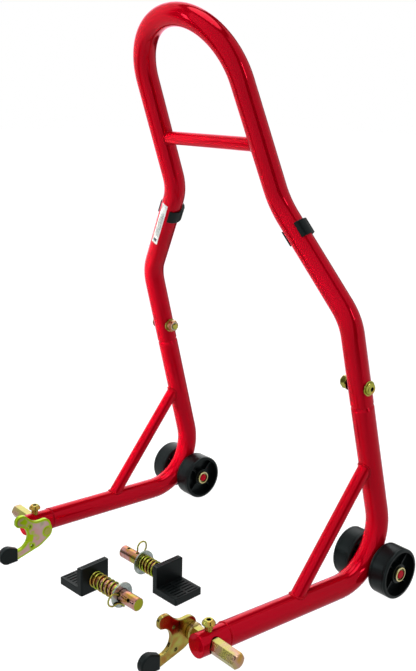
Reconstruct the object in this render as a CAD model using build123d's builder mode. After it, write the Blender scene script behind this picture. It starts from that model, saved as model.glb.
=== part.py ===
"""Motorcycle paddock stand: two-piece tube frame, sliding hooks, loose L adapters.

Millimetres. +Z up with the floor at z = 0, +Y from the hooks to the wheels, X across.
The origin is on the floor at the middle of the footprint. The right-hand pieces (+X)
are modelled and mirrored to make the left-hand ones.
"""

import math
import os

from build123d import *

os.makedirs("parts", exist_ok=True)

# frame tubes
TUBE_D, WALL = 32.0, 2.0
SMALL_D, SMALL_WALL = 19.0, 1.5
LEG_X = 210.0  # half spacing of the uprights
BEND_Y, BEND_Z = 201.2, 17.2  # where upright and lower run would cross
UPRIGHT_LEAN = -0.268  # dy/dz of the uprights
RUN_RISE, TOE_IN = 0.0435, 0.0202  # lower runs climb and close up towards the hooks
LOWER_BEND_R = 74.0
SEAM_Z, SEAM_GAP, SWAGE_L = 281.0, 0.6, 4.5  # where the lower leg plugs into the upper frame
NECK_D, NECK_L = 27.6, 62.0
KNEE_Z, KNEE_R = 401.6, 70.0
SHOULDER, SHOULDER_R = Vector(108.4, 63.2, 545.2), 77.0
LOOP_TOP = Vector(91.6, -34.6, 786.9)
CROSSBAR_AT = 0.32  # share of the way from shoulder to loop top
BRACE_RUN_Y, BRACE_TOP_Z = 11.2, 196.3
BOLT_Z, BOLT_D, BOLT_HOLE_D = 308.0, 10.0, 10.6

# front sockets, clamp screws and hooks
SOCKET_D, SOCKET_WALL = 30.0, 3.5
SOCKET_Y0, SOCKET_Y1 = -104.7, -148.5
BAR_Y, BAR_AF, BAR_HOLE_D, BAR_END_X = -131.3, 18.0, 21.6, 258.0
PLATE_X, PLATE_T, MOUTH_R = 170.0, 6.0, 17.5
COLLAR_D, COLLAR_L, SPIGOT_D = 23.0, 7.0, 12.0
CAP_T, CAP_R = 11.0, 12.7
SCREW_D, SCREW_HEAD_D, SCREW_HEAD_H, SCREW_REACH = 10.0, 17.2, 5.6, 14.0

# wheels
WHEEL_R, WHEEL_W, WHEEL_IN = 35.6, 29.2, 17.6
AXLE_Y, AXLE_D, RUNNING = 175.8, 12.0, 0.08

# guards
GUARD_L, GUARD_AT, GUARD_GAP = 22.0, 0.25, 94.0
LABEL_L, LABEL_W, LABEL_AT = 82.0, 11.0, 0.375

# adapters
PAD_L, PAD_W, PAD_FOOT, PAD_H, PAD_WALL = 49.5, 48.5, 10.0, 40.0, 9.5
PIN_D, PIN_L, PIN_Z, PIN_ROOT = 18.0, 92.0, 18.0, 5.0
CLIP_AT, SPARE_HOLE_AT, CROSS_HOLE_D, WIRE_D = 60.5, 80.0, 5.0, 2.4
WASHER_D, WASHER_T = 35.0, 2.5
SPRING_R, SPRING_WIRE, SPRING_TURNS = 10.4, 2.5, 6.5
# side: floor position, yaw, angle of the cross holes, washer position on the pin
ADAPTERS = {
    "left": ((-25.6, -140.9), 4.0, 28.0, 56.4),
    "right": ((26.5, -58.1), 183.0, 90.0, 45.5),
}


def upright(z):
    """Point on the right upright's centre line."""
    return Vector(LEG_X, BEND_Y + UPRIGHT_LEAN * (z - BEND_Z), z)


def run(y):
    """Point on the right lower run's centre line."""
    return Vector(LEG_X - TOE_IN * (BEND_Y - y), y, BEND_Z + RUN_RISE * (BEND_Y - y))


def left_of(point):
    return Vector(-point.X, point.Y, point.Z)


def plane_along(a, b, x_dir=(1, 0, 0)):
    """Plane at a whose normal runs to b."""
    direction = (b - a).normalized()
    side = Vector(x_dir)
    if side.cross(direction).length < 1e-6:
        side = Vector(0, 0, 1)
    side = side - direction * side.dot(direction)
    return Plane(origin=a, x_dir=side.normalized(), z_dir=direction)


def bar_between(a, b, diameter, mode=Mode.ADD):
    """Round bar or hole from a to b in the part being built."""
    with BuildSketch(plane_along(a, b)) as disc:
        Circle(diameter / 2)
    extrude(disc.sketch, amount=(b - a).length, mode=mode)


def save(name, builder, place=None):
    with BuildPart() as piece:
        add(builder.part if place is None else builder.part.moved(place))
    piece.part.label = name
    export_step(piece.part, f"parts/{name}.step")


def save_pair(name, right):
    """Write the right-hand piece and its mirror image."""
    save(f"{name}_right", right)
    with BuildPart() as left:
        mirror(right.part, about=Plane.YZ)
    save(f"{name}_left", left)


# upper frame: one bent tube from seam to seam, with a bolt hole at each end
loop_angle = (SHOULDER - LOOP_TOP).get_angle(Vector(-1, 0, 0))
loop_r = LOOP_TOP.X * math.tan(math.radians(loop_angle / 2)) * 0.99
half = [upright(SEAM_Z), upright(KNEE_Z), SHOULDER, LOOP_TOP]
with BuildPart() as upper_frame:
    with BuildLine() as path:
        FilletPolyline(
            *half,
            *[left_of(p) for p in reversed(half)],
            radius=[KNEE_R, SHOULDER_R, loop_r, loop_r, SHOULDER_R, KNEE_R],
        )
    with BuildSketch(path.line ^ 0):
        Circle(TUBE_D / 2)
        Circle(TUBE_D / 2 - WALL, mode=Mode.SUBTRACT)
    sweep()
    rims = upper_frame.edges().filter_by(
        lambda e: e.geom_type == GeomType.CIRCLE
        and e.arc_center.Z < SEAM_Z + 1
        and e.radius > TUBE_D / 2 - 0.1
    )
    fillet(rims, 1.5)
    for at in (upright(BOLT_Z), left_of(upright(BOLT_Z))):
        bar_between(at - Vector(25, 0, 0), at + Vector(25, 0, 0), BOLT_HOLE_D, Mode.SUBTRACT)
save("upper_frame", upper_frame)

# crossbar, coped onto both legs of the loop
end = SHOULDER + (LOOP_TOP - SHOULDER) * CROSSBAR_AT
with BuildPart() as crossbar:
    bar_between(left_of(end), end, SMALL_D)
    bar_between(left_of(end), end, SMALL_D - 2 * SMALL_WALL, Mode.SUBTRACT)
    bar_between(SHOULDER, LOOP_TOP, TUBE_D, Mode.SUBTRACT)
    bar_between(left_of(SHOULDER), left_of(LOOP_TOP), TUBE_D, Mode.SUBTRACT)
save("crossbar", crossbar)

# lower leg: run, bend and upright, then a swaged neck that plugs into the upper frame
corner = Vector(LEG_X, BEND_Y, BEND_Z)
upward = (upright(SEAM_Z) - corner).normalized()
swage = upright(SEAM_Z) - upward * (SEAM_GAP + SWAGE_L)
with BuildPart() as leg_outside:
    with BuildLine() as path:
        FilletPolyline(run(SOCKET_Y0), corner, swage, radius=[LOWER_BEND_R])
    with BuildSketch(path.line ^ 0):
        Circle(TUBE_D / 2)
    sweep()
with BuildPart() as lower_leg:
    with BuildLine() as path:
        FilletPolyline(run(SOCKET_Y0), corner, swage, radius=[LOWER_BEND_R])
    with BuildSketch(path.line ^ 0):
        Circle(TUBE_D / 2)
        Circle(TUBE_D / 2 - WALL, mode=Mode.SUBTRACT)
    sweep()
    with BuildSketch(plane_along(swage, upright(SEAM_Z))):
        Circle(TUBE_D / 2)
    extrude(amount=SWAGE_L, taper=math.degrees(math.atan((TUBE_D - NECK_D) / 2 / SWAGE_L)))
    bar_between(swage, swage + upward * NECK_L, NECK_D)
    bar_between(
        swage - upward, swage + upward * (NECK_L + 1), NECK_D - 2 * WALL, Mode.SUBTRACT
    )
    at = upright(BOLT_Z)
    bar_between(at - Vector(25, 0, 0), at + Vector(25, 0, 0), BOLT_HOLE_D, Mode.SUBTRACT)
save_pair("lower_leg", lower_leg)

# brace across the corner, coped onto the run and the upright
low, high = run(BRACE_RUN_Y), upright(BRACE_TOP_Z)
with BuildPart() as brace:
    bar_between(low, high, SMALL_D)
    bar_between(low, high, SMALL_D - 2 * SMALL_WALL, Mode.SUBTRACT)
    add(leg_outside.part, mode=Mode.SUBTRACT)
    keep = brace.solids().sort_by(SortBy.VOLUME)[-1]
    add(keep, mode=Mode.REPLACE)
save_pair("brace", brace)

# front socket: reduced tube, cross hole for the bar, tapped hole for the clamp screw
neck, tip, bar_at = run(SOCKET_Y0), run(SOCKET_Y1), run(BAR_Y)
with BuildPart() as socket:
    bar_between(neck, tip, SOCKET_D)
    bar_between(neck, tip, SOCKET_D - 2 * SOCKET_WALL, Mode.SUBTRACT)
    bar_between(bar_at - Vector(25, 0, 0), bar_at + Vector(25, 0, 0), BAR_HOLE_D, Mode.SUBTRACT)
    screw_hole = SCREW_D + 2 * RUNNING
    bar_between(bar_at, bar_at + Vector(0, 0, 25), screw_hole, Mode.SUBTRACT)
save_pair("socket", socket)

with BuildPart() as socket_end:
    bar_between(tip, tip + (tip - neck).normalized() * 2.5, SOCKET_D)
    fillet(socket_end.edges().filter_by(GeomType.CIRCLE).sort_by(Axis.Y)[0], 1.2)
save_pair("socket_end", socket_end)

# clamp screw: button head, hexagon recess, shank that stops just above the bar
screw_foot = bar_at.Z + BAR_AF / 2 + 0.3
head_z = screw_foot + SCREW_REACH
with BuildPart() as clamp_screw:
    with BuildSketch(Plane(origin=(bar_at.X, bar_at.Y, screw_foot))):
        Circle(SCREW_D / 2)
    extrude(amount=SCREW_REACH)
    chamfer(clamp_screw.edges().sort_by(Axis.Z)[0], 1.0)
    with BuildSketch(Plane(origin=(bar_at.X, bar_at.Y, head_z))):
        Circle(SCREW_HEAD_D / 2)
    extrude(amount=SCREW_HEAD_H)
    crown = clamp_screw.edges().group_by(Axis.Z)[-1]
    chamfer(crown, SCREW_HEAD_H - 1.9, 3.0)
    round_edges = clamp_screw.edges().filter_by(GeomType.CIRCLE)
    fillet(round_edges.filter_by_position(Axis.Z, head_z + 1, head_z + 20), 1.3)
    with BuildSketch(Plane(origin=(bar_at.X, bar_at.Y, head_z + SCREW_HEAD_H))):
        RegularPolygon(3.0, 6, major_radius=False)
    extrude(amount=-4.0, mode=Mode.SUBTRACT)
save_pair("clamp_screw", clamp_screw)

# hook bar: hexagon flat side up, turned spigot riveted through the plate
collar_x = PLATE_X + PLATE_T / 2
hex_start = Vector(collar_x + COLLAR_L, BAR_Y, bar_at.Z)
hex_end = Vector(BAR_END_X, BAR_Y, bar_at.Z)
inner_face = Vector(PLATE_X - PLATE_T / 2, BAR_Y, bar_at.Z)
with BuildPart() as turned_end:
    bar_between(hex_start, hex_end, 2 * BAR_AF / math.sqrt(3) + 0.2)
    chamfer(turned_end.edges().filter_by(GeomType.CIRCLE).sort_by(Axis.X)[-1], 1.6, 2.4)
with BuildPart() as hook_bar:
    with BuildSketch(plane_along(hex_start, hex_end, (0, 0, 1))):
        RegularPolygon(BAR_AF / 2, 6, major_radius=False, rotation=30)
    extrude(amount=(hex_end - hex_start).length)
    add(turned_end.part, mode=Mode.INTERSECT)
    bar_between(hex_start, inner_face - Vector(0.7, 0, 0), SPIGOT_D)
save_pair("hook_bar", hook_bar)

with BuildPart() as hook_collar:
    bar_between(Vector(collar_x, BAR_Y, bar_at.Z), hex_start, COLLAR_D)
    chamfer(hook_collar.edges().filter_by(GeomType.CIRCLE).group_by(Axis.X)[-1], 1.6)
    fillet(hook_collar.edges().filter_by(GeomType.CIRCLE).group_by(Axis.X)[0], 1.0)
    bar_between(Vector(collar_x - 1, BAR_Y, bar_at.Z), hex_start, SPIGOT_D, Mode.SUBTRACT)
save_pair("hook_collar", hook_collar)

# hook plate: local x is +Y and local y is +Z, centred on the bar's axis
mouth = (-50.5, 2.2)
plate_plane = Plane(
    origin=(PLATE_X - PLATE_T / 2, BAR_Y, bar_at.Z), x_dir=(0, 1, 0), z_dir=(1, 0, 0)
)
outline = [  # corner, rounding
    ((-53.0, 20.4), 6.0),
    ((-53.0, 36.0), 8.2),
    ((-38.0, 36.0), 9.0),
    ((-22.0, 20.2), 22.0),
    ((3.0, 21.2), 12.0),
    ((11.0, -5.0), 13.0),
    ((-12.0, -19.8), 28.0),
    ((-52.0, -30.4), 30.0),
    ((-76.5, -28.6), 8.2),
    ((-76.5, -10.4), 8.0),
]
with BuildPart() as hook_plate:
    with BuildSketch(plate_plane) as profile:
        with BuildLine():
            lip = math.radians(66)
            top = (mouth[0] + MOUTH_R * math.cos(lip), mouth[1] + MOUTH_R * math.sin(lip))
            bottom = (mouth[0], mouth[1] - MOUTH_R)
            FilletPolyline(
                top, *[p for p, _ in outline], bottom, radius=[r for _, r in outline]
            )
            ThreePointArc(bottom, (mouth[0] + MOUTH_R, mouth[1]), top)
        make_face()
    extrude(amount=PLATE_T)
    fillet(hook_plate.faces().filter_by(Axis.X).edges(), 0.8)
    with BuildSketch(plate_plane):
        with Locations((-30.0, 15.6), (-26.4, -15.6)):
            Circle(2.7)
        Circle(SPIGOT_D / 2)
    extrude(amount=PLATE_T, mode=Mode.SUBTRACT)
save_pair("hook_plate", hook_plate)

# rubber cap over the lower tip of the plate
cap_plane = plate_plane.offset(-(CAP_T - PLATE_T) / 2)
with BuildPart() as hook_cap:
    with BuildSketch(cap_plane):
        with Locations((-67.5, CAP_R - bar_at.Z)):  # the cap rests on the floor
            Circle(CAP_R)
        with Locations((-53.5, -21.8)):
            Rectangle(4.0, 18.8)
        make_hull()
    extrude(amount=CAP_T)
    fillet(hook_cap.faces().filter_by(Axis.X).edges(), 2.2)
    add(hook_plate.part, mode=Mode.SUBTRACT)
save_pair("hook_cap", hook_cap)

# axle welded to the outside of the bend, one wheel and one push-on cap at each end
axle_at = Vector(LEG_X, AXLE_Y, WHEEL_R)
reach = Vector(WHEEL_IN + WHEEL_W + 1.4, 0, 0)
with BuildPart() as axle:
    bar_between(axle_at - reach, axle_at + reach, AXLE_D)
    chamfer(axle.edges().filter_by(GeomType.CIRCLE), 0.8)
    add(leg_outside.part, mode=Mode.SUBTRACT)
save_pair("axle", axle)

HUB_R, RIM_IN, HUB_BACK = 13.6, 31.0, 2.4
for name, sign in (("outer", 1), ("inner", -1)):
    centre = axle_at + Vector(sign * (WHEEL_IN + WHEEL_W / 2), 0, 0)
    middle = Plane(origin=centre, x_dir=(0, 1, 0), z_dir=(sign, 0, 0))
    with BuildPart() as wheel:
        with BuildSketch(middle):
            Circle(WHEEL_R)
            Circle(RIM_IN, mode=Mode.SUBTRACT)
        extrude(amount=WHEEL_W / 2, both=True)
        rims = wheel.edges().filter_by(GeomType.CIRCLE)
        fillet(rims.filter_by(lambda e: e.radius > WHEEL_R - 0.1), 2.6)
        with BuildSketch(middle):
            Circle(RIM_IN + 0.5)
        extrude(amount=2.2, both=True)
        with BuildSketch(middle):
            Circle(HUB_R)
        extrude(amount=WHEEL_W / 2 - HUB_BACK, both=True)
        with BuildSketch(middle):
            with PolarLocations((HUB_R + RIM_IN) / 2, 4, start_angle=45):
                Rectangle(RIM_IN - HUB_R + 2.0, 2.0)
        extrude(amount=WHEEL_W / 2 - 6.5, both=True)
        for plane in (middle.offset(WHEEL_W / 2 - 5.4), middle.offset(4.7 - WHEEL_W / 2)):
            with BuildSketch(plane):
                Circle(WHEEL_R + 1)
                Circle(WHEEL_R - 0.5, mode=Mode.SUBTRACT)
            extrude(amount=0.7, mode=Mode.SUBTRACT)
        with BuildSketch(middle):
            Circle(AXLE_D / 2 + RUNNING)
        extrude(amount=WHEEL_W, both=True, mode=Mode.SUBTRACT)
    save_pair(f"wheel_{name}", wheel)

    hub_face = middle.offset(WHEEL_W / 2 - HUB_BACK + 0.3)
    with BuildPart() as axle_cap:
        with BuildSketch(hub_face):
            Circle(10.2)
        extrude(amount=3.4)
        fillet(axle_cap.edges().filter_by(GeomType.CIRCLE), 0.8)
        with BuildSketch(hub_face.offset(0.6)):
            Circle(8.3)
        extrude(amount=4.0, mode=Mode.SUBTRACT)
        with BuildSketch(hub_face):
            Circle(AXLE_D / 2)
        extrude(amount=4.0, both=True, mode=Mode.SUBTRACT)
    save_pair(f"axle_cap_{name}", axle_cap)

# frame bolt, washer, lock nut and its nylon ring, head on the outside
bolt_at = upright(BOLT_Z)
outside = Plane(origin=bolt_at + Vector(TUBE_D / 2, 0, 0), x_dir=(0, 1, 0), z_dir=(1, 0, 0))
inside = Plane(origin=bolt_at - Vector(TUBE_D / 2, 0, 0), x_dir=(0, 1, 0), z_dir=(-1, 0, 0))
NUT_AF, NUT_H, BOLT_TAIL = 17.0, 10.0, 15.0
with BuildPart() as frame_bolt:
    with BuildSketch(outside):
        Circle(10.5)
    extrude(amount=1.5)
    fillet(frame_bolt.edges().filter_by(GeomType.CIRCLE).group_by(Axis.X)[-1], 0.6)
    with BuildSketch(outside):
        Circle(8.6)
    extrude(amount=5.6)
    fillet(frame_bolt.edges().filter_by(GeomType.CIRCLE).group_by(Axis.X)[-1], 3.4)
    with BuildSketch(outside.offset(5.6)):
        RegularPolygon(3.0, 6, major_radius=False)
    extrude(amount=-4.2, mode=Mode.SUBTRACT)
    with BuildSketch(outside):
        Circle(BOLT_D / 2)
    extrude(amount=-(TUBE_D + BOLT_TAIL))
    chamfer(frame_bolt.edges().filter_by(GeomType.CIRCLE).group_by(Axis.X)[0], 1.0)
save_pair("frame_bolt", frame_bolt)

with BuildPart() as bolt_washer:
    with BuildSketch(inside):
        Circle(10.5)
        Circle(BOLT_HOLE_D / 2, mode=Mode.SUBTRACT)
    extrude(amount=2.0)
save_pair("bolt_washer", bolt_washer)

with BuildPart() as lock_nut:
    with BuildSketch(inside.offset(2.0)):
        RegularPolygon(NUT_AF / 2, 6, major_radius=False)
    extrude(amount=NUT_H - 2.6)
    with BuildSketch(inside.offset(2.0)):
        Circle(NUT_AF / 2 + 0.6)
    extrude(amount=NUT_H - 2.6, taper=-8, mode=Mode.INTERSECT)
    with BuildSketch(inside.offset(NUT_H - 0.6)):
        Circle(NUT_AF / 2 - 0.4)
    extrude(amount=2.6)
    fillet(lock_nut.edges().filter_by(GeomType.CIRCLE).group_by(Axis.X)[0], 1.2)
    with BuildSketch(inside):
        Circle(BOLT_D / 2)
    extrude(amount=20, mode=Mode.SUBTRACT)
    with BuildSketch(inside.offset(NUT_H - 1.4)):
        Circle(6.7)
    extrude(amount=6, mode=Mode.SUBTRACT)
save_pair("lock_nut", lock_nut)

with BuildPart() as nut_ring:
    with BuildSketch(inside.offset(NUT_H - 1.4)):
        Circle(6.7)
        Circle(BOLT_D / 2, mode=Mode.SUBTRACT)
    extrude(amount=2.6)
save_pair("nut_ring", nut_ring)

# tube guard: crescent clip, thickest at the back, open towards the hooks
knee = upright(KNEE_Z)
down = (knee - SHOULDER).normalized()
guard_at = SHOULDER + (knee - SHOULDER) * GUARD_AT
start = guard_at - down * (GUARD_L / 2)
forward = Vector(0, -1, 0)
guard_plane = plane_along(start, guard_at, forward)
with BuildPart() as tube_guard:
    with BuildSketch(guard_plane):
        with Locations((-1.8, 0)):
            Circle(TUBE_D / 2 + 2.9)
        Circle(TUBE_D / 2 + 0.1, mode=Mode.SUBTRACT)
        opening = math.radians(GUARD_GAP / 2)
        far = (40 * math.cos(opening), 40 * math.sin(opening))
        with BuildLine():
            Polyline((0, 0), far, (60, 0), (far[0], -far[1]), (0, 0))
        make_face(mode=Mode.SUBTRACT)
    extrude(amount=GUARD_L)
    fillet(tube_guard.faces().filter_by(Plane(guard_plane.origin, z_dir=down)).edges(), 0.6)
save_pair("tube_guard", tube_guard)

# plain label strip on the left leg
left_knee, left_shoulder = left_of(knee), left_of(SHOULDER)
left_down = (left_knee - left_shoulder).normalized()
mid = left_shoulder + (left_knee - left_shoulder) * LABEL_AT
facing = Vector(math.sin(math.radians(12)), -math.cos(math.radians(12)), 0)
label_plane = plane_along(mid - left_down * (LABEL_L / 2), mid, facing)
with BuildPart() as label_strip:
    with BuildSketch(label_plane):
        Circle(TUBE_D / 2 + 0.25)
        Circle(TUBE_D / 2, mode=Mode.SUBTRACT)
        with Locations((TUBE_D / 2, 0)):
            Rectangle(TUBE_D / 2, LABEL_W, mode=Mode.INTERSECT)
    extrude(amount=LABEL_L)
save("label_strip", label_strip)

# adapter, built along +X with the pad's foot on the floor, then placed twice
for name, ((x, y), yaw, roll, washer_at) in ADAPTERS.items():
    place = Location((x, y, 0), (0, 0, yaw))
    axis = Vector(0, 0, PIN_Z)
    pin_plane = Plane(origin=axis, x_dir=(0, 1, 0), z_dir=(1, 0, 0))
    turn = math.radians(roll)
    along = Vector(0, -math.cos(turn), math.sin(turn))  # the cross holes
    beside = Vector(0, -math.sin(turn), -math.cos(turn))

    with BuildPart() as adapter_pad:
        with BuildSketch(Plane.XZ.offset(-PAD_W / 2)):
            with BuildLine():
                Polyline(
                    (0, 0),
                    (-PAD_L, 0),
                    (-PAD_L, PAD_FOOT),
                    (-PAD_WALL, PAD_FOOT),
                    (-PAD_WALL, PAD_H),
                    (0, PAD_H),
                    (0, 0),
                )
            make_face()
        extrude(amount=PAD_W)
        uprights = adapter_pad.edges().filter_by(Axis.Z).sort_by(Axis.X)
        fillet(uprights[:2] + uprights[-2:], 2.4)
        fillet(adapter_pad.edges().group_by(Axis.Z)[-1], 1.2)
        foot_rim = adapter_pad.edges().filter_by_position(
            Axis.Z, PAD_FOOT - 0.1, PAD_FOOT + 0.1
        )
        fillet(foot_rim.sort_by(Axis.X)[0], 0.9)
        foot_top = Plane(origin=(-(PAD_L + PAD_WALL) / 2 - 0.5, 0, PAD_FOOT))
        with BuildSketch(foot_top):
            with GridLocations(6.2, 20.5, 6, 2):
                Rectangle(2.6, 17.5)
        extrude(amount=-1.2, mode=Mode.SUBTRACT)
        with BuildSketch(Plane(origin=(-PAD_WALL / 2, 0, PAD_H))):
            with GridLocations(2.8, 0, 2, 1):
                Rectangle(1.1, PAD_W - 9)
        extrude(amount=-0.8, mode=Mode.SUBTRACT)
        with BuildSketch(pin_plane.offset(-PIN_ROOT)):
            Circle(PIN_D / 2)
        extrude(amount=PIN_ROOT + 1, mode=Mode.SUBTRACT)
    save(f"adapter_pad_{name}", adapter_pad, place)

    with BuildPart() as adapter_pin:
        with BuildSketch(pin_plane.offset(-PIN_ROOT)):
            Circle(PIN_D / 2)
        extrude(amount=PIN_L + PIN_ROOT)
        chamfer(adapter_pin.edges().filter_by(GeomType.CIRCLE).sort_by(Axis.X)[-1], 0.9)
        for at in (CLIP_AT, SPARE_HOLE_AT):
            hole = axis + Vector(at, 0, 0)
            bar_between(hole - along * 12, hole + along * 12, CROSS_HOLE_D, Mode.SUBTRACT)
    save(f"adapter_pin_{name}", adapter_pin, place)

    with BuildPart() as adapter_washer:
        with BuildSketch(pin_plane.offset(washer_at)):
            Circle(WASHER_D / 2)
            Circle(PIN_D / 2 + 0.4, mode=Mode.SUBTRACT)
        extrude(amount=WASHER_T)
        fillet(adapter_washer.edges().filter_by(GeomType.CIRCLE).group_by(Axis.X)[-1], 0.5)
    save(f"adapter_washer_{name}", adapter_washer, place)

    room = washer_at - SPRING_WIRE - 0.6
    with BuildPart() as adapter_spring:
        with BuildLine() as coil:
            Helix(
                pitch=room / SPRING_TURNS,
                height=room,
                radius=SPRING_R,
                center=axis + Vector(SPRING_WIRE / 2 + 0.3, 0, 0),
                direction=(1, 0, 0),
            )
        with BuildSketch(coil.line ^ 0):
            Circle(SPRING_WIRE / 2)
        sweep()
    save(f"adapter_spring_{name}", adapter_spring, place)

    hole = axis + Vector(CLIP_AT, 0, 0)
    shape = [  # along the cross hole, beside it, rounding
        (-15.0, 0.0, 0.0),
        (24.0, 0.0, 8.0),
        (24.0, 16.4, 8.0),
        (12.0, 16.4, 5.5),
        (5.0, 11.1, 6.0),
        (-4.5, 11.1, 5.0),
        (-9.0, 13.6, 0.0),
    ]
    with BuildPart() as hairpin:
        with BuildLine() as wire:
            FilletPolyline(
                *[hole + along * p + beside * q for p, q, _ in shape],
                radius=[r for _, _, r in shape[1:-1]],
            )
        with BuildSketch(wire.line ^ 0):
            Circle(WIRE_D / 2)
        sweep()
    save(f"hairpin_{name}", hairpin, place)
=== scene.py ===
"""Studio scene for the paddock stand.

It gives every CAD node its material, adds the welds, threads, label print and springs, and sets
up the floor, the lights and the camera."""

import math

import bpy
from mathutils import Matrix, Vector


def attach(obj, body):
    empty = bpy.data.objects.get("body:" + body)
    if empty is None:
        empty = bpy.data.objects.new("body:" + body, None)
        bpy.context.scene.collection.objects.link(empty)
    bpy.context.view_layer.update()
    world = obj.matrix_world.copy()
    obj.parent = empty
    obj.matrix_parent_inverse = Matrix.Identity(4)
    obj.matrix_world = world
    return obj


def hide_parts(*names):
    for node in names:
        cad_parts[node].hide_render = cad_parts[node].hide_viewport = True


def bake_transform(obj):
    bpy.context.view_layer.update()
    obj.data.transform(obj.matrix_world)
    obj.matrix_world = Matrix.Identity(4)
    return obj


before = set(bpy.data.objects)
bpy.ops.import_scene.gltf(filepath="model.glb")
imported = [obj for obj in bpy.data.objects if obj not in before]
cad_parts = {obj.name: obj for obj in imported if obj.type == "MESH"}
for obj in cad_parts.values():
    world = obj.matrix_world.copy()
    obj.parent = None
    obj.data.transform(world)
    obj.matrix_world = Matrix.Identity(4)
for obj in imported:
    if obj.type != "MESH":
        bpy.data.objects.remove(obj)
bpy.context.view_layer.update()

MM = 0.001
SIDES = (("right", 1), ("left", -1))

# places and sizes on the stand, in mm and in the CAD model's frame
TUBE_R, SMALL_R, SOCKET_R = 16.0, 9.5, 15.0
LEG_X, BEND_Y, BEND_Z = 210.0, 201.2, 17.2
UPRIGHT_LEAN, RUN_RISE, TOE_IN = -0.268, 0.0435, 0.0202
SHOULDER, LOOP_TOP = Vector((108.4, 63.2, 545.2)), Vector((91.6, -34.6, 786.9))
CROSSBAR_AT, BRACE_RUN_Y, BRACE_TOP_Z = 0.32, 11.2, 196.3
SOCKET_Y, BAR_Y, BOLT_Z = -104.7, -131.3, 308.0
KNEE_Z, LABEL_AT, LABEL_R = 401.6, 0.375, 16.25
PIN_Z, SPRING_R, WIRE_R = 18.0, 10.4, 1.25
# each adapter's x, y and turn about z (degrees), and how far along its pin the washer is
ADAPTERS = {"left": (-25.6, -140.9, 4.0, 56.4), "right": (26.5, -58.1, 183.0, 45.5)}

# weld beads: radii in mm, points round a bead, sides of its section, ripples round it
BEAD_R, CROSSBAR_BEAD_R, SOCKET_BEAD_R, BEAD_SINK = 1.9, 1.7, 1.5, 0.1
BEAD_STEPS, RING_STEPS, BEAD_SEGMENTS, RIPPLES = 144, 150, 10, 26

# threads, in mm: radius of the crest's line, and pitch and crest radius of each screw
THREAD_R, THREAD_TIP, THREAD_STEPS, THREAD_FADE = 4.82, 0.05, 36, 24
BOLT_PITCH, BOLT_CREST, BOLT_TAIL, BOLT_TAIL_L = 1.25, 0.42, 11.9, 2.4
CLAMP_PITCH, CLAMP_CREST, CLAMP_FOOT, CLAMP_L = 1.5, 0.5, 15.6, 7.0

# label print, in mm along the leg and round it, and where the label faces
LABEL_TURN, INK_T, INK_STEPS = math.radians(12), 0.05, 6
LINE_PITCH, LINE_HALF = 1.6, 0.34
LINES = ((-24, 27), (-24, 25), (-16, 27), (-24, 20), (-10, 27))

# springs: turns in all, steps a turn, share of the turns that lies flat at each end, end gap in mm
SPRING_TURNS, SPRING_STEPS, FLAT_END, SPRING_GAP = 7.5, 40, 0.07, 0.3


def upright(z):
    """Middle of the right leg's upright at height z."""
    return Vector((LEG_X, BEND_Y + UPRIGHT_LEAN * (z - BEND_Z), z))


def run(y):
    """Middle of the right leg's run along the floor at y."""
    return Vector((LEG_X - TOE_IN * (BEND_Y - y), y, BEND_Z + RUN_RISE * (BEND_Y - y)))


def to_side(v, sign):
    """v, given for the right side, on the side that sign names."""
    return Vector((v.x * sign, v.y, v.z))


# ---------------------------------------------------------------- node trees


class Nodes:
    """Shortcuts for one node tree. A value is a number, a colour or another node's output."""

    def __init__(self, tree):
        self.tree = tree

    def feed(self, socket, value):
        if isinstance(value, bpy.types.NodeSocket):
            self.tree.links.new(value, socket)
        else:
            socket.default_value = value

    def node(self, kind, **inputs):
        n = self.tree.nodes.new(kind)
        for name, value in inputs.items():
            self.feed(n.inputs[name.replace("_", " ")], value)
        return n

    def feed_all(self, n, *values):
        """Feeds a node's first inputs in order, and returns its first output."""
        for socket, value in zip(n.inputs, values):
            self.feed(socket, value)
        return n.outputs[0]

    def math(self, operation, a, b=0.0):
        n = self.tree.nodes.new("ShaderNodeMath")
        n.operation = operation
        return self.feed_all(n, a, b)

    def mix(self, amount, a, b):
        """Number a where amount is 0 and b where it is 1."""
        return self.math("ADD", a, self.math("MULTIPLY", amount, self.math("SUBTRACT", b, a)))

    def mix_colour(self, amount, a, b):
        n = self.tree.nodes.new("ShaderNodeMix")
        n.data_type = "RGBA"
        self.feed(n.inputs["Factor"], amount)
        self.feed(n.inputs[6], a)
        self.feed(n.inputs[7], b)
        return n.outputs[2]

    def mask(self, value, low, high, smooth=False):
        """0 where value is low and 1 where it is high; low may be the larger."""
        n = self.node("ShaderNodeMapRange", Value=value, From_Min=low, From_Max=high)
        if smooth:
            n.interpolation_type = "SMOOTHSTEP"
        return n.outputs["Result"]

    def dot(self, a, b):
        n = self.tree.nodes.new("ShaderNodeVectorMath")
        n.operation = "DOT_PRODUCT"
        self.feed_all(n, a, b)
        return n.outputs["Value"]


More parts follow.
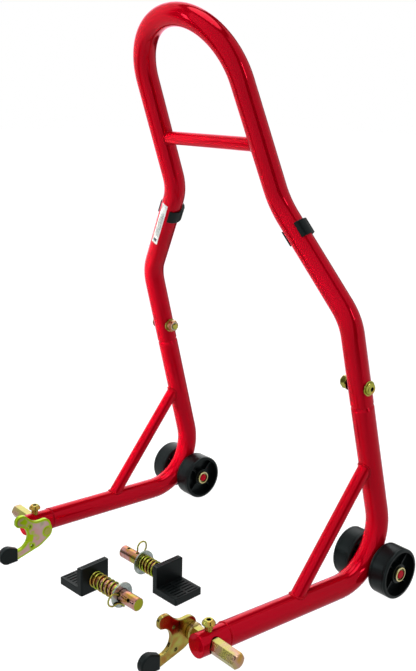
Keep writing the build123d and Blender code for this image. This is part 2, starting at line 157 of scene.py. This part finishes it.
class Paint(Nodes):
    """A Principled material whose colour, roughness and bump are procedural."""

    def __init__(self, name, **constants):
        self.mat = bpy.data.materials.new(name)
        self.mat.use_nodes = True
        super().__init__(self.mat.node_tree)
        self.shader = self.tree.nodes["Principled BSDF"]
        for socket, value in constants.items():
            self.put(socket.replace("_", " "), value)
        self.where = self.node("ShaderNodeTexCoord").outputs["Object"]

    def put(self, socket, value):
        self.feed(self.shader.inputs[socket], value)

    def noise(self, scale, detail=2.0, rough=0.5):
        n = self.node(
            "ShaderNodeTexNoise", Vector=self.where, Scale=scale, Detail=detail, Roughness=rough
        )
        return n.outputs["Fac"]

    def ramp(self, value, stops):
        n = self.node("ShaderNodeValToRGB", Fac=value)
        ramp = n.color_ramp
        while len(ramp.elements) < len(stops):
            ramp.elements.new(0.5)
        for element, (at, colour) in zip(ramp.elements, stops):
            element.position = at
            element.color = (*colour, 1.0)
        return n.outputs["Color"]

    def two_tones(self, value, dark, light, start=0.3, stop=0.7):
        self.put("Base Color", self.ramp(value, [(start, dark), (stop, light)]))

    def rough(self, value, low, high):
        n = self.node("ShaderNodeMapRange", Value=value, To_Min=low, To_Max=high)
        self.put("Roughness", n.outputs["Result"])

    def bump(self, value, strength, distance):
        n = self.node("ShaderNodeBump", Height=value, Strength=strength, Distance=distance)
        self.put("Normal", n.outputs["Normal"])
        return n.outputs["Normal"]

    def openness(self, distance, samples, inside=False):
        """1 where nothing is within distance (m), outside the surface or inside it."""
        n = self.node("ShaderNodeAmbientOcclusion", Distance=distance)
        n.samples, n.inside, n.only_local = samples, inside, inside
        return n.outputs["AO"]


# ---------------------------------------------------------------- materials


def red_gloss(name, dark, light, grain, strength, depth):
    """Candy-like gloss powder coat: a red sheen under a thin clear layer, with orange peel."""
    p = Paint(
        name, Metallic=0.42, Coat_Weight=0.11, Coat_Roughness=0.02, Coat_IOR=1.45,
        Specular_IOR_Level=0.2, Specular_Tint=(1.0, 0.08, 0.55, 1.0),
    )
    p.two_tones(p.noise(6.0, detail=3.0), dark, light)
    p.rough(p.noise(60.0), 0.06, 0.09)
    p.put("Coat Normal", p.bump(p.noise(grain, rough=0.45), strength, depth))
    return p.mat


def zinc(
    name, stops, scale, edge, edge_width=0.0035, low=0.18, high=0.34, end=None, rim=0.0,
    painted_hollow_shade=True,
):
    """Passivated zinc plate: cloudy tints that turn to the edge colour near corners.

    low and high bound its roughness. Faces towards end, a direction in the row frame, take the
    edge colour too. rim is how far (m) that colour spreads in from the outline of a plate thicker
    than it. painted_hollow_shade paints shade into holes and narrow gaps, darkening them."""
    p = Paint(name, Metallic=1.0)
    clouds = p.ramp(p.noise(scale, detail=2.5, rough=0.55), stops)
    bevel = p.node("ShaderNodeBevel", Radius=edge_width)
    bevel.samples = 8
    plain = p.node("ShaderNodeNewGeometry").outputs["Normal"]
    amount = p.mask(p.dot(bevel.outputs["Normal"], plain), 0.985, 0.70)
    if end:
        facing = p.dot(p.node("ShaderNodeTexCoord").outputs["Normal"], end)
        amount = p.math("MAXIMUM", amount, p.mask(facing, 0.80, 0.95))
    if rim:  # seen from inside a plate, only points near its outline are closed in
        near = p.mask(p.openness(rim, samples=12, inside=True), 0.97, 0.80)
        amount = p.math("MAXIMUM", amount, near)
    colour = p.mix_colour(amount, clouds, (*edge, 1.0))
    p.rough(p.noise(scale * 2.0), low, high)
    p.bump(p.noise(260.0), strength=0.01, distance=0.00005)
    # painted shade: where ambient occlusion finds surfaces within 7 mm, as in holes, recesses and
    # between spring coils, the colour turns to a dark brown
    if painted_hollow_shade:
        clear_of_painted_shade = p.mask(p.openness(0.007, samples=8), 0.14, 0.68)
        colour = p.mix_colour(clear_of_painted_shade, (0.03, 0.025, 0.012, 1.0), colour)
    p.put("Base Color", colour)
    return p.mat


def black(name, low, high, depth):
    """Black rubber or plastic, with a fine grain depth (m) deep."""
    shade = 0.003
    dark = (shade * 0.75, shade, shade * 1.05)
    light = (shade * 1.1, shade * 1.5, shade * 1.6)
    p = Paint(name, Specular_IOR_Level=0.2, Specular_Tint=(0.80, 1.0, 1.0, 1.0))
    p.two_tones(p.noise(14.0), dark, light, start=0.35, stop=0.75)
    p.rough(p.noise(120.0), low, high)
    p.bump(p.noise(900.0, detail=3.0, rough=0.6), 0.15, depth)
    return p.mat


def film(name, dark, light):
    """Label film, or the ink on it."""
    p = Paint(name, Specular_IOR_Level=0.2, Coat_Weight=0.1, Coat_Roughness=0.12, Roughness=0.5)
    p.two_tones(p.noise(260.0, detail=3.0), dark, light)
    p.bump(p.noise(300.0), strength=0.08, distance=0.0001)
    return p.mat


def nylon():
    p = Paint("nylon", Subsurface_Weight=0.1)
    p.two_tones(p.noise(300.0), (0.58, 0.60, 0.55), (0.74, 0.75, 0.68))
    p.rough(p.noise(200.0), 0.35, 0.5)
    return p.mat


OLIVE, GOLD, PINK = (0.44, 0.43, 0.09), (0.56, 0.31, 0.06), (0.62, 0.27, 0.20)
PALE, LIME, BROWN = (0.64, 0.66, 0.48), (0.40, 0.60, 0.01), (0.26, 0.12, 0.03)
SLATE, ROSE, STRAW = (0.22, 0.26, 0.26), (0.66, 0.38, 0.36), (0.66, 0.56, 0.20)
CLOUD, DEEP = (0.48, 0.47, 0.28), (0.36, 0.38, 0.03)

RED = red_gloss(
    "red_coat", (0.44, 0.0001, 0.006), (0.49, 0.0002, 0.009),
    grain=260.0, strength=0.004, depth=0.0001,
)
WELD = red_gloss(
    "weld_red", (0.30, 0.0002, 0.003), (0.46, 0.0004, 0.006),
    grain=700.0, strength=0.20, depth=0.0002,
)
HOOKS = {
    "left": zinc(
        "hook_zinc", [(0.38, LIME), (0.45, ROSE), (0.60, (0.66, 0.46, 0.44)), (0.68, CLOUD)],
        scale=40.0, edge=LIME, low=0.24, high=0.36, rim=0.0048,
    ),
    "right": zinc(
        "hook_zinc_right",
        [(0.32, BROWN), (0.46, (0.42, 0.22, 0.05)), (0.58, OLIVE), (0.70, PINK)],
        scale=34.0, edge=(0.40, 0.34, 0.09), low=0.10, high=0.22, rim=0.0030,
    ),
}
BAR = zinc(
    "bar_zinc",
    [(0.3, OLIVE), (0.45, (0.50, 0.45, 0.13)), (0.60, (0.56, 0.34, 0.26)), (0.74, GOLD)],
    scale=34.0, edge=OLIVE, edge_width=0.001, painted_hollow_shade=False,
)
NUT = zinc(
    "nut_zinc", [(0.3, GOLD), (0.5, PINK), (0.7, STRAW)],
    scale=60.0, edge=STRAW, edge_width=0.001, low=0.12, high=0.24,
)
FAST = zinc(
    "fastener_zinc", [(0.3, DEEP), (0.5, OLIVE), (0.7, GOLD)],
    scale=60.0, edge=OLIVE, edge_width=0.001, low=0.10, high=0.2,
)
SHANK = zinc(
    "shank_zinc", [(0.3, BROWN), (0.6, GOLD), (0.8, OLIVE)],
    scale=120.0, edge=BROWN, edge_width=0.0006,
)
CAP = zinc(
    "cap_zinc", [(0.3, STRAW), (0.6, (0.84, 0.76, 0.44)), (0.8, ROSE)],
    scale=70.0, edge=STRAW, edge_width=0.001,
)
COIL = zinc(
    "spring_zinc", [(0.30, LIME), (0.50, OLIVE), (0.64, GOLD)],
    scale=95.0, edge=OLIVE, edge_width=0.0004,
)
RING = zinc(
    "washer_zinc", [(0.30, SLATE), (0.55, (0.46, 0.52, 0.49)), (0.75, PALE)],
    scale=60.0, edge=PALE, edge_width=0.001,
)
WIRE = zinc(
    "clip_zinc", [(0.30, DEEP), (0.60, OLIVE), (0.80, GOLD)],
    scale=90.0, edge=OLIVE, edge_width=0.0004,
)
PINS = {
    side: zinc(
        f"pin_zinc_{side}",
        [(0.32, OLIVE), (0.42, GOLD), (0.50, PINK), (0.60, ROSE), (0.72, PINK)],
        scale=44.0, edge=DEEP, edge_width=0.0018, low=0.14, high=0.26,
        end=(math.cos(math.radians(yaw)), math.sin(math.radians(yaw)), 0.0),
    )
    for side, (_, _, yaw, _) in ADAPTERS.items()
}
RUBBER = black("black_rubber", 0.34, 0.46, depth=0.0001)
MOULDED = black("moulded_black", 0.26, 0.34, depth=0.00003)
INK = film("label_ink", (0.01, 0.012, 0.015), (0.10, 0.11, 0.12))

# every other node is red
BY_PREFIX = {
    "hook_plate_left": HOOKS["left"],
    "hook_plate_right": HOOKS["right"],
    "hook_collar": BAR,
    "hook_bar": BAR,
    "hook_cap": RUBBER,
    "frame_bolt": FAST,
    "bolt_washer": FAST,
    "lock_nut_left": NUT,
    "lock_nut_right": FAST,
    "clamp_screw": FAST,
    "nut_ring": nylon(),
    "axle_cap": CAP,
    "adapter_pad": RUBBER,
    "adapter_pin_left": PINS["left"],
    "adapter_pin_right": PINS["right"],
    "adapter_washer": RING,
    "hairpin": WIRE,
    "wheel": MOULDED,
    "tube_guard": MOULDED,
    "label_strip": film("label_film", (0.36, 0.38, 0.36), (0.42, 0.44, 0.42)),
}

for name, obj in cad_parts.items():
    material = next((m for prefix, m in BY_PREFIX.items() if name.startswith(prefix)), RED)
    for slot in obj.material_slots:
        slot.material = material


# ------------------------------------------------------------ pieces in mesh


def add_mesh(name, verts, faces, material):
    mesh = bpy.data.meshes.new(name)
    mesh.from_pydata([tuple(v) for v in verts], [], faces)
    mesh.update()
    mesh.materials.append(material)
    obj = bpy.data.objects.new(name, mesh)
    bpy.context.collection.objects.link(obj)
    return obj


def square_to(axis):
    """axis at unit length, and two more directions at right angles to it."""
    axis = axis.normalized()
    side = axis.orthogonal().normalized()
    return axis, side, axis.cross(side)


def on_circle(centre, side, other, angle, radius):
    return centre + (side * math.cos(angle) + other * math.sin(angle)) * radius


def tube(name, points, radii, material, body, segments=12, closed=False):
    """Round tube through points (mm). radii is one number or one per point."""
    count = len(points)
    radii = [radii] * count if isinstance(radii, (int, float)) else radii
    verts, faces = [], []
    side = None
    for i, p in enumerate(points):
        before = points[i - 1] if i or closed else p
        after = points[(i + 1) % count] if i < count - 1 or closed else p
        along = (after - before).normalized()
        if side is None:
            side = along.orthogonal().normalized()
        side = (side - along * side.dot(along)).normalized()
        other = along.cross(side)
        for k in range(segments):
            verts.append(on_circle(p, side, other, 2 * math.pi * k / segments, radii[i]) * MM)
    shift = 0
    if closed:  # the section may have turned on its way round
        first = verts[0]
        last = verts[-segments:]
        shift = min(range(segments), key=lambda k: (last[k] - first).length)
    for i in range(count if closed else count - 1):
        j = (i + 1) % count
        turn = shift if j == 0 else 0
        for k in range(segments):
            a, b = i * segments + (k + turn) % segments, i * segments + (k + 1 + turn) % segments
            faces.append((a, b, j * segments + (k + 1) % segments, j * segments + k))
    if not closed:
        faces.append(tuple(reversed(range(segments))))
        faces.append(tuple((count - 1) * segments + k for k in range(segments)))
    obj = add_mesh(name, verts, faces, material)
    obj.data.validate()
    obj.data.shade_smooth()
    if body:
        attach(obj, body)
    return obj


def ripple(angle, wander, waves):
    """Height of a weld's ripples, 0 to 1; they bunch up a little, waves times round."""
    return abs(math.sin(angle * RIPPLES / 2 + wander * math.sin(angle * waves)))


def bead(name, foot, toward, on, direction, size=BEAD_R):
    """Weld bead where a small tube, leaving foot along toward, comes out of a main tube.

    The main tube's axis passes through on along direction."""
    toward, side, other = square_to(toward)
    direction = direction.normalized()
    points, radii = [], []
    for i in range(BEAD_STEPS):
        a = 2 * math.pi * i / BEAD_STEPS
        start = on_circle(foot, side, other, a, SMALL_R)
        # distance from the main tube's axis equals its radius: a quadratic along toward
        d = (start - on) - direction * (start - on).dot(direction)
        t = toward - direction * toward.dot(direction)
        qa, qb, qc = t.dot(t), 2 * d.dot(t), d.dot(d) - TUBE_R**2
        root = math.sqrt(max(qb * qb - 4 * qa * qc, 0.0))
        points.append(start + toward * ((-qb + root) / (2 * qa)))
        uneven = 0.80 + 0.22 * ripple(a, 0.6, 3) + 0.08 * math.sin(a * 5 + 1.0)
        radii.append(size * uneven)
    tube(name, points, radii, WELD, "frame", BEAD_SEGMENTS, closed=True)


def ring_bead(name, centre, axis, radius, size):
    """Weld bead round a tube."""
    _, side, other = square_to(axis)
    points, radii = [], []
    for i in range(RING_STEPS):
        a = 2 * math.pi * i / RING_STEPS
        points.append(on_circle(centre, side, other, a, radius))
        radii.append(size * (0.82 + 0.2 * ripple(a, 0.5, 2)))
    tube(name, points, radii, WELD, "frame", BEAD_SEGMENTS, closed=True)


def thread(name, base, axis, length, pitch, crest, body):
    """Helical crest on an M10 screw's shank, from base along axis."""
    axis, side, other = square_to(axis)
    turns = length / pitch
    steps = int(turns * THREAD_STEPS)
    points, radii = [], []
    for i in range(steps + 1):
        a = 2 * math.pi * turns * i / steps
        lift = axis * (length * i / steps)
        points.append(on_circle(base + lift, side, other, a, THREAD_R))
        fade = min(1.0, i / THREAD_FADE, (steps - i) / THREAD_FADE)
        radii.append(max(crest * fade, THREAD_TIP))
    tube(name, points, radii, SHANK, body, segments=6)


def welds_and_threads(side, sign):
    """The four beads and two threads of one side, placed for the right and moved to side."""

    def here(v):
        return to_side(v, sign)

    inward = Vector((-sign, 0, 0))
    crossbar_end = SHOULDER + (LOOP_TOP - SHOULDER) * CROSSBAR_AT
    bead(
        f"crossbar_weld_{side}", here(crossbar_end), inward,
        here(SHOULDER), here(LOOP_TOP - SHOULDER), CROSSBAR_BEAD_R,
    )
    run_way, upright_way = run(BEND_Y) - run(0.0), upright(400.0) - upright(100.0)
    brace_low, brace_high = run(BRACE_RUN_Y), upright(BRACE_TOP_Z)
    brace_way = here(brace_high - brace_low)
    bead(
        f"brace_weld_low_{side}", here(brace_low), brace_way, here(brace_low), here(run_way)
    )
    bead(
        f"brace_weld_high_{side}", here(brace_high), -brace_way,
        here(brace_high), here(upright_way),
    )
    ring_bead(
        f"socket_weld_{side}", here(run(SOCKET_Y - 0.4)), here(run_way),
        SOCKET_R - BEAD_SINK, SOCKET_BEAD_R,
    )
    thread(
        f"frame_bolt_thread_{side}", here(upright(BOLT_Z) - Vector((TUBE_R + BOLT_TAIL, 0, 0))),
        inward, BOLT_TAIL_L, BOLT_PITCH, BOLT_CREST, "frame",
    )
    thread(
        f"clamp_screw_thread_{side}", here(run(BAR_Y)) + Vector((0, 0, CLAMP_FOOT)),
        Vector((0, 0, 1)), CLAMP_L, CLAMP_PITCH, CLAMP_CREST, f"clamp_screw_{side}",
    )


for side, sign in SIDES:
    welds_and_threads(side, sign)

# plain bars printed on the label: fine lines, one solid block and a thin rule, no lettering
left_knee, left_shoulder = to_side(upright(KNEE_Z), -1), to_side(SHOULDER, -1)
leg_down = (left_knee - left_shoulder).normalized()
label_mid = left_shoulder + (left_knee - left_shoulder) * LABEL_AT
facing = Vector((math.sin(LABEL_TURN), -math.cos(LABEL_TURN), 0))
facing = (facing - leg_down * facing.dot(leg_down)).normalized()
across = leg_down.cross(facing)


def printed_bar(name, along, over):
    """Patch of print on the label, between two stations along it and two across it."""
    verts, faces = [], []
    for i in range(INK_STEPS + 1):
        a = (over[0] + (over[1] - over[0]) * i / INK_STEPS) / LABEL_R
        for s in along:
            for r in (LABEL_R, LABEL_R + INK_T):
                verts.append(on_circle(label_mid + leg_down * s, facing, across, a, r) * MM)
    for i in range(INK_STEPS):
        n = i * 4
        for a, b in ((0, 1), (1, 3), (3, 2), (2, 0)):
            faces.append((n + a, n + 4 + a, n + 4 + b, n + b))
    n = INK_STEPS * 4
    faces += [(0, 1, 3, 2), (n, n + 2, n + 3, n + 1)]
    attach(add_mesh(name, verts, faces, INK), "frame")


for i, line in enumerate(LINES):
    offset = LINE_PITCH * (i - len(LINES) // 2)
    printed_bar(f"label_line_{i}", line, (offset - LINE_HALF, offset + LINE_HALF))
printed_bar("label_block", (30.5, 36.5), (-3.4, 3.4))
printed_bar("label_rule", (-37.0, -36.2), (-3.6, 3.6))


def rise(f):
    """How far along its pin a spring is, 0 to 1, at share f of its turns.

    About half a turn lies flat at each end. Next to it the rise eases out, and there is a step
    of 3% of the spring's length where the easing stops."""
    g = min(max((f - FLAT_END) / (1 - 2 * FLAT_END), 0.0), 1.0)
    if f < FLAT_END * 2 or f > 1 - FLAT_END * 2:
        return 0.5 * g + 0.5 * (g * g * (3 - 2 * g))
    return g


# each spring is a helix round its pin, from near the pad to its washer, in place of the CAD spring
for side, (x, y, yaw, washer_at) in ADAPTERS.items():
    turn = Matrix.Rotation(math.radians(yaw), 3, "Z")
    start, end = SPRING_GAP + WIRE_R, washer_at - SPRING_GAP - WIRE_R
    steps = int(SPRING_TURNS * SPRING_STEPS)
    points = []
    for i in range(steps + 1):
        a = 2 * math.pi * SPRING_TURNS * i / steps
        along = start + (end - start) * rise(i / steps)
        local = Vector((along, SPRING_R * math.cos(a), PIN_Z + SPRING_R * math.sin(a)))
        points.append(turn @ local + Vector((x, y, 0)))
    spring = tube(f"spring_{side}", points, WIRE_R, COIL, None)
    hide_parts(f"adapter_spring_{side}")
    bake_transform(spring)

# ------------------------------------------------------------------ studio walls

SEEN, FILL = 1.0, 0.34  # world strength for camera rays, and for all others but glossy ones
WALLS, CEILING, GAP = 0.78, 3.0, 0.03  # what gloss mirrors: tall walls, a ceiling, gaps
BACKDROP = 1.7  # the lit sheet behind the stand
# degrees anticlockwise from +X to one of three upright gaps, and to the backdrop's middle
GAP_BEARING, BACKDROP_BEARING = -6.0, 138.6
GAP_EDGE, BACKDROP_EDGE = (0.70, 0.90), (0.78, 0.97)  # cosines from outside to inside
RING_GAP = math.radians(60.0)  # height of the gap that runs round under the ceiling
RING_EDGE, CEILING_EDGE = (0.07, 0.15), math.radians(2.0)  # radians
NEAR_FLOOR, FAR_FLOOR = 0.65, (0.35, 1.0)  # mirrored strength near the stand, and where it ends


def studio_walls(nodes, way):
    """Brightness of the studio's walls in the direction way: gaps, and the backdrop."""
    split = nodes.node("ShaderNodeSeparateXYZ", Vector=way)
    around = nodes.math("ARCTAN2", split.outputs["Y"], split.outputs["X"])
    turned = nodes.math("SUBTRACT", around, math.radians(GAP_BEARING))
    third = nodes.math("COSINE", nodes.math("MULTIPLY", turned, 3.0))
    off_sheet = nodes.math("SUBTRACT", around, math.radians(BACKDROP_BEARING))
    sheet = nodes.mask(nodes.math("COSINE", off_sheet), *BACKDROP_EDGE, smooth=True)
    wall = nodes.mix(sheet, WALLS, BACKDROP)
    return nodes.mix(nodes.mask(third, *GAP_EDGE, smooth=True), wall, GAP)


world = bpy.data.worlds.new("studio")
bpy.context.scene.world = world
world.use_nodes = True
sky = Nodes(world.node_tree)
light_path = sky.node("ShaderNodeLightPath")
toward = sky.node("ShaderNodeTexCoord").outputs["Generated"]
height = sky.math("ARCSINE", sky.node("ShaderNodeSeparateXYZ", Vector=toward).outputs["Z"])
off_ring = sky.math("ABSOLUTE", sky.math("SUBTRACT", height, RING_GAP))
ring_gap = sky.math("SUBTRACT", 1.0, sky.mask(off_ring, *RING_EDGE, smooth=True))
above = sky.mask(height, RING_GAP, RING_GAP + CEILING_EDGE, smooth=True)
mirrored = sky.mix(ring_gap, sky.mix(above, studio_walls(sky, toward), CEILING), GAP)
other = sky.mix(light_path.outputs["Is Glossy Ray"], FILL, mirrored)
strength = sky.mix(light_path.outputs["Is Camera Ray"], other, SEEN)
background = sky.tree.nodes["Background"]
sky.feed(background.inputs["Strength"], strength)
sky.feed(background.inputs["Color"], (1.0, 1.0, 1.0, 1.0))

# ------------------------------------------------------------------------ floor

REACH = 12.0  # half the floor's width, in m
FLOOR_GLOW, FLOOR_SHADE, FLOOR_GREY = 0.985, 0.14, 0.55

floor_paint = bpy.data.materials.new("floor_white")
floor_paint.use_nodes = True
floor_paint.node_tree.nodes.clear()
ground = Nodes(floor_paint.node_tree)


def floor_shader(kind, *values, **inputs):
    return ground.feed_all(ground.node(kind, **inputs), *values)


# the camera sees a pale floor with faint shade, gloss mirrors a glow, and other rays meet grey
seen = floor_shader(
    "ShaderNodeAddShader",
    floor_shader("ShaderNodeEmission", Color=(1.0, 1.0, 1.0, 1.0), Strength=FLOOR_GLOW),
    floor_shader("ShaderNodeBsdfDiffuse", Color=(FLOOR_SHADE,) * 3 + (1.0,)),
)
# the glow is plain close to the stand and carries the walls' pattern far off
place = ground.node("ShaderNodeNewGeometry").outputs["Position"]
reach = ground.node("ShaderNodeVectorMath", Vector=place)
reach.operation = "LENGTH"
far = ground.mask(reach.outputs["Value"], *FAR_FLOOR, smooth=True)
glow = floor_shader(
    "ShaderNodeEmission", Color=(1.0, 1.0, 1.0, 1.0),
    Strength=ground.mix(far, NEAR_FLOOR, studio_walls(ground, place)),
)
lit = floor_shader("ShaderNodeBsdfDiffuse", Color=(FLOOR_GREY,) * 3 + (1.0,))
ray = ground.node("ShaderNodeLightPath")
unseen = floor_shader("ShaderNodeMixShader", ray.outputs["Is Glossy Ray"], lit, glow)
shown = floor_shader("ShaderNodeMixShader", ray.outputs["Is Camera Ray"], unseen, seen)
ground.node("ShaderNodeOutputMaterial", Surface=shown)

corners = [(-REACH, -REACH, 0), (REACH, -REACH, 0), (REACH, REACH, 0), (-REACH, REACH, 0)]
floor = add_mesh("floor", corners, [(0, 1, 2, 3)], floor_paint)

# ----------------------------------------------------------------------- lights


def softbox(name, at, target, width, height, power, mirrored=False):
    """Rectangular light at a place, facing target; mirrored if gloss may show it."""
    data = bpy.data.lights.new(name, "AREA")
    data.shape, data.size, data.size_y, data.energy = "RECTANGLE", width, height, power
    obj = bpy.data.objects.new(name, data)
    bpy.context.collection.objects.link(obj)
    obj.location = at
    obj.rotation_euler = (Vector(target) - Vector(at)).to_track_quat("-Z", "Y").to_euler()
    obj.visible_camera = False
    obj.visible_glossy = mirrored
    return data


MIDDLE = (0.0, 0.0, 0.4)
softbox("fill_left", (-1.3, -1.3, 1.0), MIDDLE, 1.2, 1.6, power=46)
softbox("fill_right", (2.2, -0.9, 1.3), MIDDLE, 1.2, 1.6, power=14)
softbox("fill_back", (0.0, 2.2, 1.3), MIDDLE, 1.6, 1.6, power=20)
softbox("top", (0.3, -0.5, 2.3), MIDDLE, 1.5, 1.1, power=14)
softbox("spark_left", (-1.4, -2.4, 1.3), MIDDLE, 0.25, 0.9, power=4, mirrored=True)
softbox("spark_right", (2.6, 0.4, 1.2), MIDDLE, 0.25, 0.9, power=4, mirrored=True)
# a narrow beam that keeps the left leg brighter than the right
beam = softbox("beam_left", (-1.2, -1.3, 1.0), (-0.21, 0.10, 0.33), 0.5, 0.7, power=3.2)
beam.spread = math.radians(20)

# --------------------------------------------------------------------- camera

CAMERA_AT, LENS, SENSOR = (0.9752, -0.8213, 0.6938), 50.21, 36.0
SHIFT_X, SHIFT_Y = -0.0043, -0.1020  # the photograph's framing
AZIMUTH, ELEVATION, ROLL = math.radians(48.57), math.radians(10.82), math.radians(1.21)

back = Vector(
    (
        math.sin(AZIMUTH) * math.cos(ELEVATION),
        -math.cos(AZIMUTH) * math.cos(ELEVATION),
        math.sin(ELEVATION),
    )
)
right = Vector((math.cos(AZIMUTH), math.sin(AZIMUTH), 0.0))
up = back.cross(right)
right_rolled = right * math.cos(ROLL) + up * math.sin(ROLL)
up_rolled = up * math.cos(ROLL) - right * math.sin(ROLL)
turned = Matrix((right_rolled, up_rolled, back)).transposed().to_4x4()
camera_data = bpy.data.cameras.new("camera")
camera_data.sensor_width, camera_data.lens = SENSOR, LENS
camera_data.shift_x, camera_data.shift_y = SHIFT_X, SHIFT_Y
camera = bpy.data.objects.new("camera", camera_data)
bpy.context.collection.objects.link(camera)
camera.matrix_world = Matrix.Translation(CAMERA_AT) @ turned
bpy.context.scene.camera = camera
bpy.context.scene.view_settings.view_transform = "Standard"
